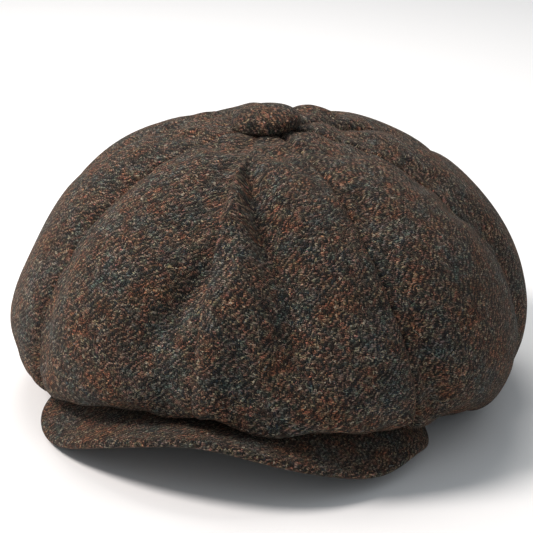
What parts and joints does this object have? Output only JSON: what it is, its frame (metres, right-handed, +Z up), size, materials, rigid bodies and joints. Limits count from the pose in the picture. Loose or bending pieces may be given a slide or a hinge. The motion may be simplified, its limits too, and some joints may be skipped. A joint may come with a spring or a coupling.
{
  "type": "newsboy cap",
  "caption": "Soft panelled tweed cap with a full overhanging crown, a covered top button, a headband and a short stiff curved peak; lined, with a sweatband inside.",
  "frame": {"origin": "on the surface that the cap stands on, under the middle of its overall box", "axes": "+Z up; the peak points along -Y; +X is the wearer's left and the right-hand side seen from the front"},
  "size_m": [0.2773, 0.3081, 0.1527],
  "materials": {
    "crown_tweed": "woollen tweed, matt, flecked brown",
    "band_tweed": "woollen tweed, matt, flecked brown",
    "peak_tweed": "woollen tweed, matt, flecked brown",
    "button_tweed": "woollen tweed drawn over a button, matt",
    "lining_satin": "satin, soft sheen",
    "canvas": "stiff canvas, matt",
    "sweatband_ribbon": "ribbed ribbon, satin sheen",
    "label_cloth": "woven label, blank",
    "peak_board_plastic": "smooth moulded sheet",
    "button_metal": "pressed tinplate",
    "sewing_thread": "waxed sewing thread"
  },
  "bodies": {
    "cap": {"crown_panel_front_right": "crown_tweed", "crown_panel_right_front": "crown_tweed", "crown_panel_right_back": "crown_tweed", "crown_panel_back_right": "crown_tweed", "crown_panel_back_left": "crown_tweed", "crown_panel_left_back": "crown_tweed", "crown_panel_left_front": "crown_tweed", "crown_panel_front_left": "crown_tweed", "lining_panel_front_right": "lining_satin", "lining_panel_right_front": "lining_satin", "lining_panel_right_back": "lining_satin", "lining_panel_back_right": "lining_satin", "lining_panel_back_left": "lining_satin", "lining_panel_left_back": "lining_satin", "lining_panel_left_front": "lining_satin", "lining_panel_front_left": "lining_satin", "headband": "band_tweed", "band_interlining": "canvas", "sweatband": "sweatband_ribbon", "size_label": "label_cloth", "button_cover": "button_tweed", "button_shell": "button_metal", "button_back": "button_metal", "button_shank": "button_metal", "button_thread": "sewing_thread"},
    "peak": {"peak_board": "peak_board_plastic", "peak_top_cover": "peak_tweed", "peak_under_cover": "peak_tweed"}
  },
  "joints": [
    {"name": "peak_flex", "type": "hinge", "parent": "cap", "child": "peak", "pos_m": [0, -0.04325, 0.02111], "axis": [1, 0, 0], "range_deg": [0, 12], "stiffness_Nm_per_rad": 0.5, "springref_deg": -6.88}
  ]
}
